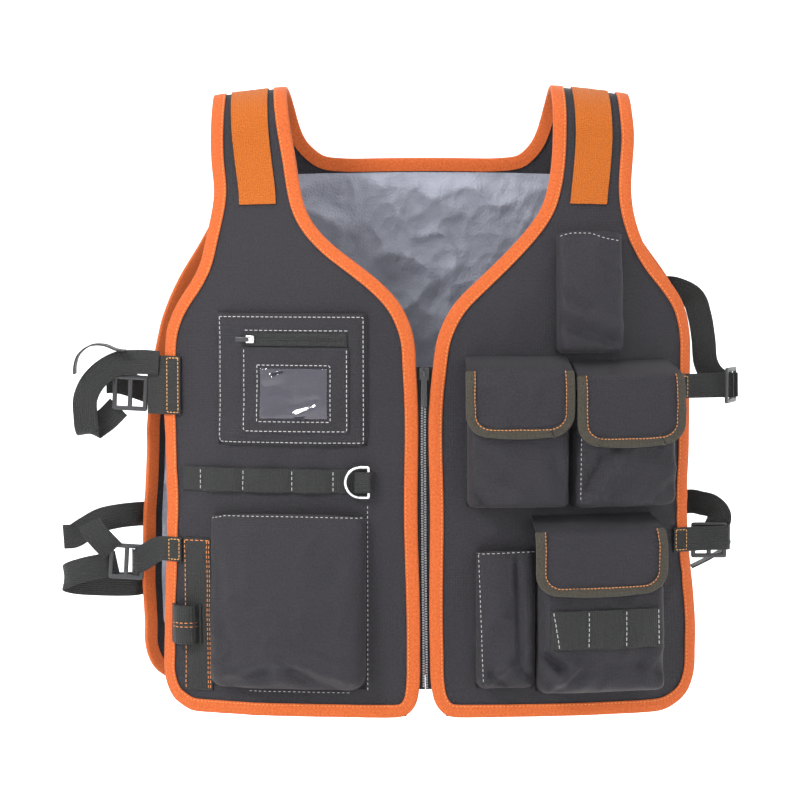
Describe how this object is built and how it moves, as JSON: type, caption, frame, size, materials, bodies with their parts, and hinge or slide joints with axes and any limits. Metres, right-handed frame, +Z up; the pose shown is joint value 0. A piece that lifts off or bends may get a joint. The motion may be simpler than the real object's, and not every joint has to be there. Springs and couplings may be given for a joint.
{
  "type": "utility work vest",
  "caption": "Worn-form utility work vest with bound edges, front zip, cargo pockets, tool loops, a D-ring and adjustable webbing side straps.",
  "frame": {"origin": "shoulder_rest: under the tops of the shoulders, midway between them, where the vest sits on what holds it up", "axes": "+X to the wearer's left, +Y to the wearer's back, +Z up"},
  "size_m": [0.6973, 0.2037, 0.6417],
  "materials": {
    "body_cloth": "plain-woven synthetic",
    "lining": "non-woven",
    "edge_binding": "folded tape",
    "hook_tape": "hook tape",
    "flap_binding": "folded tape",
    "webbing": "flat woven webbing",
    "black_plastic": "moulded, satin",
    "plated_metal": "nickel-plated",
    "clear_film": "soft clear vinyl"
  },
  "bodies": {
    "vest": {"front_panel_right": "body_cloth", "binding_front_right": "edge_binding", "front_panel_left": "body_cloth", "binding_front_left": "edge_binding", "back_panel": "body_cloth", "binding_back": "edge_binding", "binding_back_neck": "edge_binding", "back_lining": "lining", "shoulder_tape_right": "hook_tape", "shoulder_tape_left": "hook_tape", "id_pocket": "body_cloth", "large_pocket": "body_cloth", "tall_pocket": "body_cloth", "flap_pocket_a": "body_cloth", "flap_pocket_b": "body_cloth", "flap_pocket_c": "body_cloth", "narrow_pocket": "body_cloth", "flap_a": "body_cloth", "flap_a_binding": "flap_binding", "flap_b": "body_cloth", "flap_b_binding": "flap_binding", "flap_c": "body_cloth", "flap_c_binding": "flap_binding", "zip_tape_right": "body_cloth", "zip_teeth_right": "black_plastic", "zip_tape_left": "body_cloth", "zip_teeth_left": "black_plastic", "zip_slider": "plated_metal", "card_pocket": "body_cloth", "card_zip": "black_plastic", "card_window": "clear_film", "card_slider": "plated_metal", "tool_webbing": "webbing", "hammer_loop": "webbing", "pocket_c_webbing": "webbing", "hammer_strip": "webbing", "d_ring_keeper": "webbing", "strap_upper_right_front": "webbing", "buckle_upper_right": "black_plastic", "strap_upper_right_loop": "webbing", "strap_upper_right_fold": "webbing", "strap_upper_right_back": "webbing", "strap_lower_right_front": "webbing", "buckle_lower_right": "black_plastic", "strap_lower_right_loop": "webbing", "strap_lower_right_back": "webbing", "strap_lower_right_fold": "webbing", "strap_upper_left_front": "webbing", "buckle_upper_left": "black_plastic", "strap_upper_left_back": "webbing", "strap_lower_left_front": "webbing", "buckle_lower_left": "black_plastic", "strap_lower_left_back": "webbing", "strap_lower_left_end": "webbing"},
    "ring": {"d_ring": "plated_metal"},
    "zip_tab": {"zip_pull": "plated_metal"},
    "card_tab": {"card_pull": "plated_metal"}
  },
  "joints": [
    {"name": "d_ring_swing", "type": "hinge", "parent": "vest", "child": "ring", "pos_m": [-0.05856, -0.09052, -0.39186], "axis": [0, 0, 1], "range_deg": [0, 180]},
    {"name": "zip_pull_swing", "type": "hinge", "parent": "vest", "child": "zip_tab", "pos_m": [-0.00264, -0.08985, -0.28266], "axis": [-1, 0.0009, 0], "range_deg": [0, 180]},
    {"name": "card_pull_swing", "type": "hinge", "parent": "vest", "child": "card_tab", "pos_m": [-0.1788, -0.08166, -0.24834], "axis": [0, 0, 1], "range_deg": [0, 180]}
  ]
}
